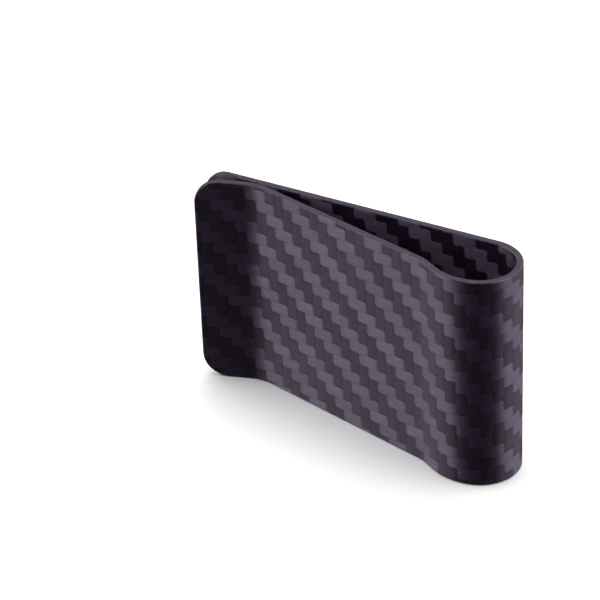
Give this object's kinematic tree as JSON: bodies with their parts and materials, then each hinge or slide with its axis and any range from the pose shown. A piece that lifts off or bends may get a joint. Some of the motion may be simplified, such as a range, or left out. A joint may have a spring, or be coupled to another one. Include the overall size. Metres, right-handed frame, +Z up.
{
  "type": "money clip",
  "caption": "Carbon-fibre money clip: a hairpin spring strip of bonded twill and core plies, with a flat back leaf, a round bend and a front leaf that kinks in and flares at its tip.",
  "frame": {"origin": "middle of the base, with the clip standing on one long edge", "axes": "+X along the back leaf towards the bend, +Y out of the back leaf, +Z up, along the axis that the strip is bent about"},
  "size_m": [0.0618, 0.014, 0.0387],
  "materials": {
    "twill_face": "satin clear coat over 2x2 twill carbon-fibre cloth",
    "core_ply": "sanded and sealed edge of a carbon-fibre ply"
  },
  "bodies": {
    "back_leaf": {"back_leaf_outer_twill": "twill_face", "back_leaf_core_ply_1": "core_ply", "back_leaf_core_ply_2": "core_ply", "back_leaf_core_ply_3": "core_ply", "back_leaf_core_ply_4": "core_ply", "back_leaf_inner_twill": "twill_face", "bend_outer_twill": "twill_face", "bend_core_ply_1": "core_ply", "bend_core_ply_2": "core_ply", "bend_core_ply_3": "core_ply", "bend_core_ply_4": "core_ply", "bend_inner_twill": "twill_face"},
    "front_leaf": {"front_leaf_outer_twill": "twill_face", "front_leaf_core_ply_1": "core_ply", "front_leaf_core_ply_2": "core_ply", "front_leaf_core_ply_3": "core_ply", "front_leaf_core_ply_4": "core_ply", "front_leaf_inner_twill": "twill_face"}
  },
  "joints": [
    {"name": "leaf_flex", "type": "hinge", "parent": "back_leaf", "child": "front_leaf", "pos_m": [0.0239, 0.00005, 0.01935], "axis": [0, 0, 1], "range_deg": [0, 8], "stiffness_Nm_per_rad": 6, "deforming": ["bend_outer_twill", "bend_core_ply_1", "bend_core_ply_2", "bend_core_ply_3", "bend_core_ply_4", "bend_inner_twill"]}
  ]
}
